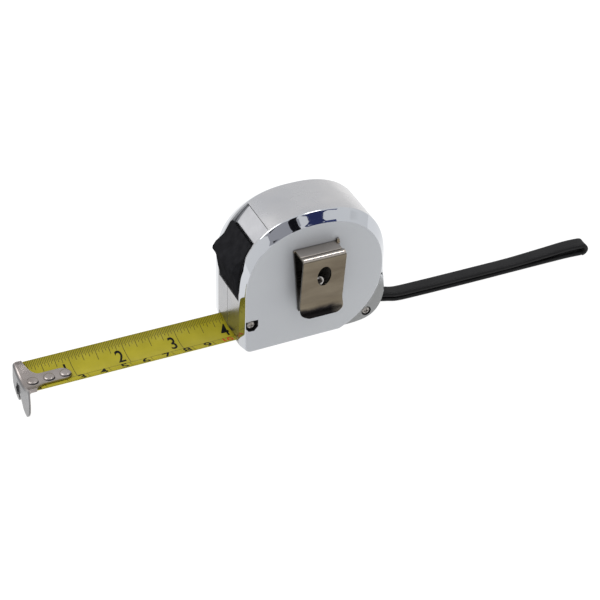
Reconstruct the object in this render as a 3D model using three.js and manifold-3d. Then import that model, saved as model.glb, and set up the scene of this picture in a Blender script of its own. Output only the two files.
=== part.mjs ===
// A 25 foot pocket tape measure with a chromed D-shaped case, sliding lock, belt clip and wrist strap.
// Millimetres, +Z up. +X runs to the rear, the belt clip is on the -Y side, and the origin is the middle of
// the flat bottom, straight below the spool's axis.
import * as THREE from 'three';
import { mergeVertices } from 'three/addons/utils/BufferGeometryUtils.js';
import Module from 'manifold-3d';

const wasm = await Module();
wasm.setup();

// ---- driving dimensions -------------------------------------------------------------------------------
const CASE = {
  front: -35.8, rear: 35.8, top: 65.4, mid: 30.2, bend: 2.4,
  stripHalf: 12.5, faceHalf: 17.5, wall: 1.8, seamY: 1.5, seamGap: 0.2,
};
const FACE = { front: -35.0, rear: 32.8, top: 61.8, mid: 30.2, drop: 32.8 };
const LUG = { half: 15.6, x0: 12, top: 20 };
const SPOOL = { z: 31.5, flange: 28.3, hub: 17.0, bore: 3.3, half: 14.2, plate: 0.9 };
const BLADE = { half: 10.7, sag: 3.4, belly: 0.2, thick: 0.4, tip: -134.6, root: -33.0, play: 0.8, travel: 94 };
const COIL = { outer: 26.6, half: 11.4 };
const LOCK = { x: -1.5, z: 34.0, half: 11.0, floor: 32.5, slotHalf: 11.3, slotStart: 127.5, slotEnd: 194.8 };
const CLIP = { middle: -1.2, half: 10.4, sheet: 1.0, foot: 17, head: 50.7, shelf: 6.6, gap: 0.1 };
const SCREWS = { front: [-32.0, 14.4], rear: [26.6, 4.9], boss: 2.4, shank: 1.3, head: 2.2 };
const STRAP = { width: 6.8, thick: 2.3, pitch: 2.45, loop: 4.0, rise: 0.08, restX: 27, lift: 0.15 };
const HOOK = { sheet: 0.9, tip: -13.0, half: 12.6, near: -12.2, far: 10.6, tongue: 22.3, tongueHalf: 4.2, tongueY: -1.5 };

const group = new THREE.Group();
group.name = 'tape_measure';

// ---- colours and finishes -----------------------------------------------------------------------------
const FINISH = {
  chrome: { color: 0xd4d7dc, roughness: 0.12, metalness: 1.0 },
  nickel: { color: 0xb5ada6, roughness: 0.22, metalness: 1.0 },
  steel: { color: 0x9aa0a6, roughness: 0.35, metalness: 1.0 },
  springSteel: { color: 0x5c6670, roughness: 0.4, metalness: 1.0 },
  blackPlastic: { color: 0x17181a, roughness: 0.55, metalness: 0.0 },
  innerPlastic: { color: 0x3a3d42, roughness: 0.6, metalness: 0.0 },
  rubber: { color: 0x202020, roughness: 0.85, metalness: 0.0 },
  yellow: { color: 0xd6c93a, roughness: 0.4, metalness: 0.0 },
  strap: { color: 0x111214, roughness: 0.5, metalness: 0.0 },
};

function add(name, geometry, finish) {
  const mesh = new THREE.Mesh(geometry, new THREE.MeshStandardMaterial(FINISH[finish]));
  mesh.name = name;
  group.add(mesh);
}

// ---- shape helpers ------------------------------------------------------------------------------------
function solidOf(geometry) {
  const bare = new THREE.BufferGeometry();
  bare.setAttribute('position', geometry.getAttribute('position').clone());
  if (geometry.index) bare.setIndex(geometry.index.clone());
  const merged = mergeVertices(bare, 1e-4);
  const mesh = new wasm.Mesh({
    numProp: 3,
    vertProperties: new Float32Array(merged.attributes.position.array),
    triVerts: new Uint32Array(merged.index.array),
  });
  return new wasm.Manifold(mesh);
}

function geometryOf(solid) {
  const mesh = solid.getMesh();
  const geometry = new THREE.BufferGeometry();
  geometry.setAttribute('position', new THREE.BufferAttribute(new Float32Array(mesh.vertProperties), 3));
  geometry.setIndex(new THREE.BufferAttribute(new Uint32Array(mesh.triVerts), 1));
  geometry.computeVertexNormals();
  return geometry;
}

function join(first, ...rest) {
  return rest.reduce((solid, next) => solid.add(next), first);
}

function cut(first, ...rest) {
  return rest.reduce((solid, next) => solid.subtract(next), first);
}

// A box from its lowest and highest corners.
function box(low, high) {
  const size = high.map((value, i) => value - low[i]);
  const middle = high.map((value, i) => (value + low[i]) / 2);
  return solidOf(new THREE.BoxGeometry(...size).translate(...middle));
}

// A straight-sided solid between y0 and y1 from an outline of [x, z] points.
function slabY(points, y0, y1) {
  const shape = new THREE.Shape(points.map(([x, z]) => new THREE.Vector2(x, z)));
  const geometry = new THREE.ExtrudeGeometry(shape, { depth: y1 - y0, bevelEnabled: false });
  return solidOf(geometry.rotateX(Math.PI / 2).translate(0, y1, 0));
}

// A straight-sided solid between x0 and x1 from an outline of [y, z] points.
function slabX(points, x0, x1) {
  const shape = new THREE.Shape(points.map(([y, z]) => new THREE.Vector2(-z, y)));
  const geometry = new THREE.ExtrudeGeometry(shape, { depth: x1 - x0, bevelEnabled: false });
  return solidOf(geometry.rotateY(Math.PI / 2).translate(x0, 0, 0));
}

// A disc or rod along Y, centred on [x, z], between y0 and y1.
function rodY(radius, [x, z], y0, y1, sides = 32) {
  const geometry = new THREE.CylinderGeometry(radius, radius, y1 - y0, sides);
  return solidOf(geometry.translate(x, (y0 + y1) / 2, z));
}

// One end face of a loft: a fan about the middle of its ring, as triangles of point numbers.
function fanCap(ring, first, positions) {
  const count = ring.length;
  const centre = positions.length / 3;
  positions.push(...[0, 1, 2].map((k) => ring.reduce((sum, p) => sum + p[k], 0) / count));
  return ring.map((_, i) => [first + ((i + 1) % count), first + i, centre]);
}

// Closed rings of equal length, skinned one to the next and capped at both ends.
function loft(rings) {
  const count = rings[0].length;
  const positions = rings.flat(2);
  const index = [];
  for (let r = 0; r + 1 < rings.length; r += 1) {
    for (let i = 0; i < count; i += 1) {
      const a = r * count + i;
      const b = r * count + ((i + 1) % count);
      index.push(a, b, b + count, a, b + count, a + count);
    }
  }
  const far = rings.length - 1;
  index.push(...fanCap(rings[0], 0, positions).flat());
  index.push(...fanCap(rings[far], far * count, positions).flatMap(([a, b, c]) => [b, a, c]));
  const geometry = new THREE.BufferGeometry();
  geometry.setAttribute('position', new THREE.BufferAttribute(new Float32Array(positions), 3));
  geometry.setIndex(index);
  return solidOf(geometry);
}

// Points on an arc about [x, z], angles in degrees from +X towards +Z.
function arc([x, z], radius, from, to, steps) {
  const points = [];
  for (let i = 0; i <= steps; i += 1) {
    const angle = THREE.MathUtils.degToRad(from + ((to - from) * i) / steps);
    points.push([x + radius * Math.cos(angle), z + radius * Math.sin(angle)]);
  }
  return points;
}

// A band about the lock's centre between two radii and two angles.
function lockBand(inner, outer, from, to, steps = 18) {
  const centre = [LOCK.x, LOCK.z];
  return [...arc(centre, outer, from, to, steps), ...arc(centre, inner, to, from, steps)];
}

function quarter(centre, a, b, power, from, to, steps) {
  const points = [];
  for (let i = 0; i <= steps; i += 1) {
    const t = from + ((to - from) * i) / steps;
    const c = Math.cos(t);
    const s = Math.sin(t);
    points.push([
      centre[0] + a * Math.sign(c) * Math.abs(c) ** (2 / power),
      centre[1] + b * Math.sign(s) * Math.abs(s) ** (2 / power),
    ]);
  }
  return points;
}

// The D outline: rounded foot in front, a full round over the top, and the lower rear quarter.
function outline({ front, rear, top, mid, power, foot, rearQuarter }) {
  const centreX = (front + rear) / 2;
  const half = (rear - front) / 2;
  const over = quarter([centreX, mid], half, top - mid, power, Math.PI, 0, 32);
  return [...arc([front + foot, foot], foot, 270, 180, 4), ...over, ...rearQuarter.slice(1)];
}

function stripOutline(inset = 0) {
  const { front, rear, top, mid } = CASE;
  const inner = 14;
  const rearQuarter = quarter([inner, mid], rear - inset - inner, mid - inset, 4, 0, -Math.PI / 2, 12);
  return outline({
    front: front + inset, rear: rear - inset, top: top - inset, mid, power: CASE.bend, foot: 1.6, rearQuarter,
  }).map(([x, z]) => [x, Math.max(z, inset)]);
}

// The raised round face: its lower rear runs on as a circle until it meets the bottom.
function faceOutline(inset = 0) {
  const { front, rear, top, mid, drop } = FACE;
  const centreX = (front + rear) / 2;
  const end = -Math.asin(mid / drop);
  const rearQuarter = quarter([centreX, mid], rear - centreX - inset, drop - inset, 2, 0, end, 12);
  return outline({
    front: front + inset, rear: rear - inset, top: top - inset, mid, power: 2.25, foot: 2.4, rearQuarter,
  });
}

function ringAt(points, y) {
  return points.map(([x, z]) => [x, y, z]);
}

// Height of the blade's upper surface at a distance y from its middle.
function bladeHeight(y) {
  const radius = (BLADE.half ** 2 + BLADE.sag ** 2) / (2 * BLADE.sag);
  return BLADE.belly + radius - Math.sqrt(radius ** 2 - y ** 2);
}

function bladeCurve(offset, half, sagScale = 1, steps = 14) {
  const points = [];
  for (let i = 0; i <= steps; i += 1) {
    const y = -half + (2 * half * i) / steps;
    const t = (y / half) * BLADE.half;
    points.push([y, BLADE.belly + (bladeHeight(t) - BLADE.belly) * sagScale + offset]);
  }
  return points;
}

// ---- case ---------------------------------------------------------------------------------------------
function caseBody() {
  const rings = [
    ringAt(faceOutline(0.6), -CASE.faceHalf),
    ringAt(faceOutline(), -CASE.faceHalf + 0.5),
    ringAt(stripOutline(), -CASE.stripHalf),
    ringAt(stripOutline(), CASE.stripHalf),
    ringAt(faceOutline(), CASE.faceHalf - 0.5),
    ringAt(faceOutline(0.6), CASE.faceHalf),
  ];
  const lug = slabY(stripOutline(), -LUG.half, LUG.half)
    .intersect(box([LUG.x0, -LUG.half, 0], [CASE.rear + 1, LUG.half, LUG.top]));
  return join(loft(rings), lug);
}

// The blade's way in, and the open channel in the bottom that the hook's tongue and rivets run back into.
function mouthCut() {
  const clear = 0.35;
  const half = BLADE.half + clear;
  const back = BLADE.tip + HOOK.tongue + BLADE.travel + 1;
  const lower = bladeCurve(-BLADE.thick - clear, half);
  const upper = bladeCurve(2.6, half, 0.75).reverse();
  const way = slabX([...lower, ...upper], CASE.front - 2, back);
  return join(way, box([CASE.front - 2, -6, -1], [back, 6, CASE.wall + 0.2]));
}

function lockSlotCut() {
  return slabY(lockBand(30.9, 44, LOCK.slotStart, LOCK.slotEnd), -LOCK.slotHalf, LOCK.slotHalf);
}

function screwCuts() {
  const reach = CASE.faceHalf + 1;
  const [fx, fz] = SCREWS.front;
  const pocket = [
    [fx - 2.7, fz + 2.6], [fx, fz + 2.9], [fx + 3.3, fz + 2.7], [fx + 3.2, fz - 0.9],
    [fx + 1.3, fz - 3.0], [fx - 1.3, fz - 2.8], [fx - 2.7, fz - 1.0],
  ];
  return [
    slabY(pocket, -reach, -CASE.faceHalf + 1.8),
    rodY(SCREWS.head + 0.2, SCREWS.rear, -reach, -LUG.half + 1.3, 24),
    rodY(SCREWS.shank + 0.25, SCREWS.front, -reach, CASE.faceHalf - 3, 16),
    rodY(SCREWS.shank + 0.25, SCREWS.rear, -reach, CASE.faceHalf - 3, 16),
    rodY(2.9, [0, SPOOL.z], -reach, -13, 24),
  ];
}

function caseHalves() {
  const wide = 15.4;
  const drum = rodY(29.7, [0, SPOOL.z], -wide, wide, 72);
  const pocket = slabY(stripOutline(CASE.wall), -11.9, 11.9)
    .intersect(box([CASE.front, -12, CASE.wall], [-6, 12, CASE.top]));
  const corner = slabY([[15, 1.8], [31, 1.8], [33.4, 5], [34, 12], [30, 12], [20, 6]], -11.5, 11.5);
  const strapSlot = box([30, -9.2, 1.9], [40, -0.6, 7.9]);
  const bosses = [
    rodY(SCREWS.boss, SCREWS.front, -CASE.stripHalf, CASE.stripHalf, 24),
    rodY(SCREWS.boss, SCREWS.rear, -CASE.stripHalf, CASE.stripHalf, 24),
  ];
  let hollow = cut(caseBody(), drum, pocket, corner, mouthCut(), lockSlotCut(), strapSlot);
  hollow = cut(join(hollow, ...bosses), ...screwCuts());
  const edge = CASE.seamGap / 2;
  const near = hollow.intersect(box([-60, -40, -5], [60, CASE.seamY - edge, 90]));
  const far = hollow.intersect(box([-60, CASE.seamY + edge, -5], [60, 40, 90]));
  add('case_near', geometryOf(near), 'chrome');
  add('case_far', geometryOf(far), 'chrome');
}

// ---- lock ---------------------------------------------------------------------------------------------
function lockTrackPlate() {
  const plate = slabY(lockBand(31.6, LOCK.floor, LOCK.slotStart + 0.6, LOCK.slotEnd - 0.6), -LOCK.half, LOCK.half);
  const stemWay = slabY(lockBand(31, 34, 152, 189.5), -3.4, 3.4);
  add('lock_track_plate', geometryOf(plate.subtract(stemWay)), 'chrome');
}

function lockButton() {
  const outer = [
    [-35.6, 25.9], [-36.7, 31], [-37.6, 37.4], [-38.5, 39.4], [-39.4, 41.0], [-39.2, 42.3],
    [-37.7, 44.6], [-35.6, 46.2], [-33.7, 47.8], [-31.9, 50.9], [-30.7, 53.1], [-29.9, 53.8], [-29.2, 53.5],
  ];
  const inner = arc([LOCK.x, LOCK.z], LOCK.floor + 0.35, 147.6, 193.2, 14).filter(([, z]) => z > 26.2);
  const body = slabY([...outer, ...inner], -LOCK.half, LOCK.half);
  const stem = slabY(lockBand(31.0, 33.6, 164, 178.5), -2.9, 2.9);
  add('lock_button', geometryOf(join(body, stem)), 'blackPlastic');
}

function lockFoot() {
  const arm = slabY(lockBand(29.0, 29.9, 164, 236, 24), -4.6, 4.6);
  const stem = slabY(lockBand(29.5, 30.7, 166, 177), -2.9, 2.9);
  add('lock_foot', geometryOf(join(arm, stem)), 'innerPlastic');
  const pad = slabY(lockBand(30.2, 32.4, 227, 236, 6), -4.6, 4.6);
  add('brake_pad', geometryOf(pad), 'rubber');
}

function lockDetent() {
  const leaf = slabY([...arc([LOCK.x, LOCK.z], 31.2, 129, 146, 8), ...arc([LOCK.x, LOCK.z], 30.7, 146, 129, 8)], -3, 3);
  add('lock_detent_spring', geometryOf(leaf), 'springSteel');
}

// ---- spool and spring ---------------------------------------------------------------------------------
function ringY(inner, outer, y0, y1, sides = 48) {
  return rodY(outer, [0, SPOOL.z], y0, y1, sides).subtract(rodY(inner, [0, SPOOL.z], y0 - 1, y1 + 1, sides));
}

function spool() {
  const { flange, hub, bore, half, plate } = SPOOL;
  const disc = ringY(bore, flange, half - plate, half, 64);
  const barrel = ringY(hub - 1.2, hub, -half + plate + 0.3, half - plate + 0.1);
  add('spool_drum', geometryOf(join(disc, barrel)), 'innerPlastic');
  const coverHole = 5.2;
  add('spool_cover', geometryOf(ringY(coverHole, flange, -half, -half + plate, 64)), 'innerPlastic');
}

function bladeCoil() {
  const { outer, half } = COIL;
  let coil = ringY(SPOOL.hub + 0.3, outer, -half, half, 64);
  const depth = 0.25;
  for (const radius of [25.4, 22.8, 20.2]) {
    coil = coil.subtract(ringY(radius - 0.4, radius, half - depth, half + 1, 64));
    coil = coil.subtract(ringY(radius - 0.4, radius, -half - 1, -half + depth, 64));
  }
  add('blade_coil', geometryOf(coil), 'yellow');
}

function spiral(turns, start, pitch, thick, steps) {
  const outer = [];
  const inner = [];
  for (let i = 0; i <= turns * steps; i += 1) {
    const angle = (i / steps) * Math.PI * 2;
    const radius = start + (pitch * i) / steps;
    outer.push([(radius + thick) * Math.cos(angle), SPOOL.z + (radius + thick) * Math.sin(angle)]);
    inner.push([radius * Math.cos(angle), SPOOL.z + radius * Math.sin(angle)]);
  }
  return [...outer, ...inner.reverse()];
}

function mainspring() {
  add('mainspring', geometryOf(slabY(spiral(7, 4.6, 1.45, 0.5, 22), -11.5, 11.5)), 'springSteel');
}

function spoolPost() {
  const post = join(
    rodY(2.8, [0, SPOOL.z], -15.2, 12.9, 24),
    rodY(4.1, [0, SPOOL.z], 12.2, 13.0, 24),
  );
  const pilot = rodY(1.5, [0, SPOOL.z], -16, -9.5, 16);
  const springSlot = box([-0.4, -11.8, SPOOL.z], [0.4, 11.8, SPOOL.z + 4]);
  add('spool_post', geometryOf(cut(post, pilot, springSlot)), 'steel');
  add('post_rivet', geometryOf(rodY(2.2, [0, SPOOL.z], 13.3, 15.2, 20)), 'steel');
}

function thrustWashers() {
  add('thrust_washer', geometryOf(ringY(3.4, 5.0, -14.9, -14.5, 32)), 'steel');
}

// ---- blade and hook -----------------------------------------------------------------------------------
function blade() {
  const section = [...bladeCurve(-BLADE.thick, BLADE.half), ...bladeCurve(0, BLADE.half).reverse()];
  const strip = slabX(section, BLADE.tip, BLADE.root);
  const holes = rivetPlaces().map((at) => rodZ(1.35, at, -2, 4, 16));
  add('blade', geometryOf(cut(strip, ...holes)), 'yellow');
}

// Inside the case the blade flattens and climbs to meet the bottom of the coil.
function bladeLead() {
  const start = [BLADE.root + 0.4, CASE.wall + 0.2 + BLADE.thick];
  const end = [-0.4, SPOOL.z - COIL.outer - 0.4];
  const sheet = [start, end, [end[0], end[1] - BLADE.thick], [start[0], start[1] - BLADE.thick]];
  add('blade_lead', geometryOf(slabY(sheet, -BLADE.half, BLADE.half)), 'yellow');
}

function rodZ(radius, [x, y], z0, z1, sides = 20) {
  const geometry = new THREE.CylinderGeometry(radius, radius, z1 - z0, sides).rotateX(Math.PI / 2);
  return solidOf(geometry.translate(x, y, (z0 + z1) / 2));
}

function rivetPlaces() {
  return [0, 1, 2].map((i) => [BLADE.tip + 4.4 + 7.6 * i, HOOK.tongueY]);
}

function hook() {
  const lift = 0.2;
  const plan = new THREE.Shape();
  const back = BLADE.tip - HOOK.sheet;
  const wide = BLADE.tip + 3.2;
  const neck = BLADE.tip + 9;
  const round = BLADE.tip + HOOK.tongue - HOOK.tongueHalf;
  const low = HOOK.tongueY - HOOK.tongueHalf;
  const high = HOOK.tongueY + HOOK.tongueHalf;
  plan.moveTo(back, HOOK.near);
  plan.lineTo(wide, HOOK.near);
  plan.quadraticCurveTo(wide + 2.5, low, neck, low);
  plan.lineTo(round, low);
  plan.absarc(round, HOOK.tongueY, HOOK.tongueHalf, -Math.PI / 2, Math.PI / 2);
  plan.lineTo(neck, high);
  plan.quadraticCurveTo(wide + 2.5, high, wide, HOOK.far);
  plan.lineTo(back, HOOK.far);
  const blank = solidOf(new THREE.ExtrudeGeometry(plan, { depth: 20, bevelEnabled: false, curveSegments: 8 })
    .translate(0, 0, -5));
  const plateSection = [...hookCurve(lift), ...hookCurve(lift + HOOK.sheet).reverse()];
  const plate = slabX(plateSection, back, BLADE.tip + HOOK.tongue + 1).intersect(blank);
  const slots = rivetPlaces().map(([x, y]) => join(
    rodZ(1.3, [x + BLADE.play, y], -1, 5, 16),
    rodZ(1.3, [x, y], -1, 5, 16),
  ));
  const face = slabX(clawOutline(), back, BLADE.tip - 0.05);
  add('hook', geometryOf(join(cut(plate, ...slots), face)), 'nickel');
}

// The hook's plate follows the blade's curve and runs out level past the blade's edges.
function hookCurve(offset) {
  const inner = bladeCurve(offset, BLADE.half);
  const level = inner[0][1];
  return [[-HOOK.half, level], ...inner, [HOOK.half, level]];
}

// The claw seen from the front: two prongs with a slanting notch between them, the near one longer.
function clawOutline() {
  const top = hookCurve(0.9).filter(([y]) => y > HOOK.near && y < HOOK.far).reverse();
  return [
    [HOOK.far, top[0][1]], ...top, [HOOK.near, top[top.length - 1][1]],
    [-12.2, 0.0], [-12.0, -4.0], [-11.2, -8.0], [-10.0, -10.3], [-8.2, HOOK.tip + 0.7], [-6.6, HOOK.tip],
    [-4.6, HOOK.tip + 0.1], [-2.2, -12.0], [-0.9, -10.2], [0.3, -8.6], [3.2, -6.9], [4.7, -6.2],
    [4.9, -7.0], [3.3, -10.0], [3.4, -11.3], [4.9, -12.1], [6.4, -11.9], [8.6, -11.0],
    [10.6, -9.6], [11.7, -7.2], [11.8, -3.5], [11.3, 0.0], [HOOK.far, 3.0],
  ];
}

function rivets() {
  const { belly, thick } = BLADE;
  rivetPlaces().forEach((at, i) => {
    const shank = rodZ(1.0, at, belly - 0.8, belly + 1.6, 16);
    const head = rodZ(1.9, at, belly + 1.45, belly + 2.05, 20);
    const foot = rodZ(1.6, at, belly - thick - 0.8, belly - thick - 0.1, 20);
    add(`hook_rivet_${i + 1}`, geometryOf(join(shank, head, foot)), 'nickel');
  });
}

// ---- belt clip ----------------------------------------------------------------------------------------
// A sheet-metal strip of even thickness along a path of [y, z] points, as wide as the clip.
function stripX(path, thick, middle, half) {
  const side = (sign) => path.map(([y, z], i) => {
    const a = path[Math.max(i - 1, 0)];
    const b = path[Math.min(i + 1, path.length - 1)];
    const length = Math.hypot(b[0] - a[0], b[1] - a[1]);
    return [y - (sign * thick * (b[1] - a[1])) / (2 * length), z + (sign * thick * (b[0] - a[0])) / (2 * length)];
  });
  return slabX([...side(1), ...side(-1).reverse()], middle - half, middle + half);
}

// A back plate that widens upward and turns out into a shelf, and a leaf that hangs from the shelf's edge.
function beltClip() {
  const { middle, half, sheet, foot, head } = CLIP;
  const face = -CASE.faceHalf - CLIP.gap;
  const edge = face - CLIP.shelf;
  const outline = [
    [middle - half + 2.2, foot], [middle + half - 2.2, foot], [middle + half + 0.8, head - sheet],
    [middle + half + 0.8, head], [middle - half - 0.8, head], [middle - half - 0.8, head - sheet],
  ];
  const plate = join(
    slabY(outline, face - sheet, face),
    box([middle - half, edge, head - sheet], [middle + half - 0.6, face, head]),
    box([middle + half - 0.6, face - sheet, head - sheet], [middle + half + 0.6, face, head + 1.3]),
  );
  add('clip_base', geometryOf(cut(plate, rodY(1.9, [0, SPOOL.z], -20, -17, 20))), 'nickel');
  const path = [
    [edge - 0.2, head - 0.6], [edge - 1.1, head - 0.4], [edge - 1.9, head - 0.5], [edge - 2.5, head - 1.0],
    [edge - 2.75, head - 1.9], [edge - 2.5, 46], [edge - 0.6, 28], [edge - 0.3, 25.6],
    [edge - 0.6, 23.2], [edge - 1.5, 20.5], [edge - 2.7, 18.2],
  ];
  const hole = slabY(quarter([-0.9, 39.6], 3.4, 5.5, 2, 0, 2 * Math.PI, 28).slice(1), -30, -22);
  const corners = slabY([
    [-14, 15], [-14, 23.5], [-11.2, 20.4], [-6, 18.4], [3.6, 18.4], [8.8, 20.4], [12, 23.5], [12, 15],
  ], -30, -22);
  add('clip_leaf', geometryOf(cut(stripX(path, sheet, middle, half), hole, corners)), 'nickel');
}

// ---- fasteners ----------------------------------------------------------------------------------------
function crossScrew(name, [x, z], headFace, headHeight, headRadius, shankRadius, end) {
  const head = rodY(headRadius, [x, z], headFace, headFace + headHeight, 28);
  const shank = rodY(shankRadius, [x, z], headFace + headHeight - 0.1, end, 16);
  const arm = headRadius * 0.55;
  const cross = join(
    box([x - arm, headFace - 1, z - 0.28], [x + arm, headFace + 0.55, z + 0.28]),
    box([x - 0.28, headFace - 1, z - arm], [x + 0.28, headFace + 0.55, z + arm]),
  );
  add(name, geometryOf(cut(join(head, shank), cross)), 'steel');
}

function screws() {
  const pocketFloor = -CASE.faceHalf + 1.8;
  const lugFloor = -LUG.half + 1.3;
  crossScrew('case_screw_front', SCREWS.front, pocketFloor - 1.35, 1.2, SCREWS.head, SCREWS.shank - 0.1, 12);
  crossScrew('case_screw_rear', SCREWS.rear, lugFloor - 1.35, 1.2, SCREWS.head, SCREWS.shank - 0.1, 12);
  const clipFace = -CASE.faceHalf - CLIP.gap - CLIP.sheet;
  crossScrew('clip_screw', [0, SPOOL.z], clipFace - 1.25, 1.1, 3.0, 1.25, -10.4);
}

// ---- wrist strap --------------------------------------------------------------------------------------
// Plan view of the strap's middle line, from inside the case to the fold at its far end.
const STRAP_PLAN = [
  [34.2, -5.0], [37.4, -5.4], [41.0, -6.4], [46.0, -7.7], [56.8, -9.0], [71.0, -10.5], [87.2, -12.1],
  [103.7, -13.6], [120.7, -15.2], [131.5, -16.3], [138.6, -17.4],
];

function ease(value) {
  const t = THREE.MathUtils.clamp(value, 0, 1);
  return t * t * (3 - 2 * t);
}

function strapRest(x) {
  return STRAP.rise * (x - STRAP.restX) + STRAP.lift + STRAP.thick / 2 + 1.1 * ease((48 - x) / 12);
}

// The two runs of the loop lie on each other and part towards the far end.
function strapPitch(x) {
  return STRAP.pitch + (STRAP.loop - STRAP.pitch) * ease((x - 105) / 30);
}

function strapRoute() {
  const out = STRAP_PLAN.map(([x, y]) => [x, y, strapRest(x) + strapPitch(x)]);
  const back = STRAP_PLAN.map(([x, y]) => [x, y, strapRest(x)]).reverse();
  const [x, y, z] = back[0];
  const fold = [-50, 0, 50].map((degrees) => {
    const angle = THREE.MathUtils.degToRad(degrees);
    const radius = STRAP.loop / 2;
    return [x + radius * 1.2 * Math.cos(angle), y - 0.4, z + radius - radius * Math.sin(angle)];
  });
  return [...out, ...fold, ...back];
}

function wristStrap() {
  const route = strapRoute().map((p) => new THREE.Vector3(...p));
  const curve = new THREE.CatmullRomCurve3(route, false, 'centripetal');
  const corners = [[-1, -0.45], [-0.86, -1], [0.86, -1], [1, -0.45], [1, 0.45], [0.86, 1], [-0.86, 1], [-1, 0.45]];
  const rings = [];
  const steps = 84;
  for (let i = 0; i <= steps; i += 1) {
    const at = curve.getPoint(i / steps);
    const along = curve.getTangent(i / steps);
    const across = new THREE.Vector3(0, 1, 0).addScaledVector(along, -along.y).normalize();
    const normal = new THREE.Vector3().crossVectors(along, across).normalize();
    rings.push(corners.map(([u, v]) => at.clone()
      .addScaledVector(across, (u * STRAP.width) / 2)
      .addScaledVector(normal, (v * STRAP.thick) / 2)
      .toArray()));
  }
  add('wrist_strap', geometryOf(loft(rings)), 'strap');
}

function strapAnchor() {
  add('strap_anchor_pin', geometryOf(rodY(1.0, [32.0, 5.0], -8.9, -0.9, 16)), 'steel');
}

caseHalves();
lockTrackPlate();
lockButton();
lockFoot();
lockDetent();
spool();
bladeCoil();
mainspring();
spoolPost();
thrustWashers();
blade();
bladeLead();
hook();
rivets();
beltClip();
screws();
wristStrap();
strapAnchor();

export default group;
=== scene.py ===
"""Looks for the pocket tape measure: chromed case, lock button, printed blade, hook, belt clip and strap.

Sizes are in millimetres in the CAD's own frame, and are turned into metres when a mesh is made.
"""

import math

import bmesh
import bpy
from mathutils import Matrix, Vector


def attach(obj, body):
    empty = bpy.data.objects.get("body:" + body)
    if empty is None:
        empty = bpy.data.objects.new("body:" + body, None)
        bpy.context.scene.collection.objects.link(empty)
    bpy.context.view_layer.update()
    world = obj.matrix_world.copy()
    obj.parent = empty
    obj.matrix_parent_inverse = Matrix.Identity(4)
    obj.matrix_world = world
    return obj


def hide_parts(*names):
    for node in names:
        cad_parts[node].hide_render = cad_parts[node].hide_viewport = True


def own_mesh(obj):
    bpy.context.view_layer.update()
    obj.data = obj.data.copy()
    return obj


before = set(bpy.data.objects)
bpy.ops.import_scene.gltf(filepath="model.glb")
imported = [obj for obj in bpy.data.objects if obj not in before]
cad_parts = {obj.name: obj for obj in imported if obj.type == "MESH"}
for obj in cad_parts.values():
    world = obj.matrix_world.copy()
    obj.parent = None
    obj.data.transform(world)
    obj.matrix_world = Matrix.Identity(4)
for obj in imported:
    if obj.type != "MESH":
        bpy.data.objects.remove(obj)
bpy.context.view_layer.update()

MM = 0.001
CASE = {"front": -35.8, "rear": 35.8, "top": 65.4, "mid": 30.2, "wall": 1.8, "seam": 1.5}
FACE = {"front": -35.0, "rear": 32.8, "top": 61.8, "drop": 32.8}
SPOOL_Z = 31.5
BLADE = {"half": 10.7, "sag": 3.4, "belly": 0.2, "thick": 0.4, "tip": -134.6, "root": -33.0, "travel": 94.0}
SCREW = {"front": (-32.0, 14.4), "rear": (26.6, 4.9), "radius": 2.15, "clip_radius": 2.5}
SCALE = {"zero": -135.8, "inch": 25.4, "line": -4.6}
LOCK = {"x": -1.5, "z": 34.0, "half": 11.0, "floor": 32.5, "slot_half": 11.3, "start": 127.5, "end": 194.8}
HOOK = {"sheet": 0.9, "near": -12.2, "far": 10.6, "tongue": 22.3, "tongue_half": 4.2, "tongue_y": -1.5}
CLIP = {"middle": -1.2, "half": 10.4, "sheet": 1.0, "foot": 17.0, "head": 50.7, "shelf": 6.6, "face": -17.6}
STRAP = {"width": 6.8, "thick": 2.3, "pitch": 2.45, "loop": 4.0, "rise": 0.08, "rest_x": 27.0, "lift": 0.15}


# ---- shader nodes ---------------------------------------------------------------------------------------
class Graph:
    """A material's node tree, with short calls for the nodes used below."""

    def __init__(self, name, color, roughness, metallic=0.0):
        self.material = bpy.data.materials.new(name)
        self.material.use_nodes = True
        self.tree = self.material.node_tree
        self.shader = self.tree.nodes["Principled BSDF"]
        self.set("Base Color", (*color, 1.0))
        self.set("Roughness", roughness)
        self.set("Metallic", metallic)

    def set(self, socket, value):
        if isinstance(value, bpy.types.NodeSocket):
            self.tree.links.new(value, self.shader.inputs[socket])
        else:
            self.shader.inputs[socket].default_value = value

    def node(self, kind, inputs=None, **settings):
        made = self.tree.nodes.new(kind)
        for key, value in settings.items():
            setattr(made, key, value)
        for key, value in (inputs or {}).items():
            if isinstance(value, bpy.types.NodeSocket):
                self.tree.links.new(value, made.inputs[key])
            else:
                made.inputs[key].default_value = value
        return made

    def math(self, operation, *values):
        return self.node("ShaderNodeMath", dict(enumerate(values)), operation=operation).outputs[0]

    def place(self):
        return self.node("ShaderNodeTexCoord").outputs["Object"]

    def noise(self, scale, detail=3.0, vector=None):
        inputs = {"Scale": scale, "Detail": detail, "Vector": vector or self.place()}
        return self.node("ShaderNodeTexNoise", inputs).outputs["Fac"]

    def spread(self, value, low, high, start=0.3, end=0.7):
        """value between start and end turned into a number between low and high."""
        inputs = {"Value": value, "From Min": start, "From Max": end, "To Min": low, "To Max": high}
        return self.node("ShaderNodeMapRange", inputs).outputs[0]

    def mix(self, factor, first, second):
        made = self.node("ShaderNodeMix", data_type="RGBA")
        for index, value in ((0, factor), (6, first), (7, second)):
            if isinstance(value, bpy.types.NodeSocket):
                self.tree.links.new(value, made.inputs[index])
            else:
                made.inputs[index].default_value = value if index == 0 else (*value, 1.0)
        return made.outputs[2]

    def bump(self, height, strength, distance):
        inputs = {"Height": height, "Strength": strength, "Distance": distance}
        self.set("Normal", self.node("ShaderNodeBump", inputs).outputs[0])


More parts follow.
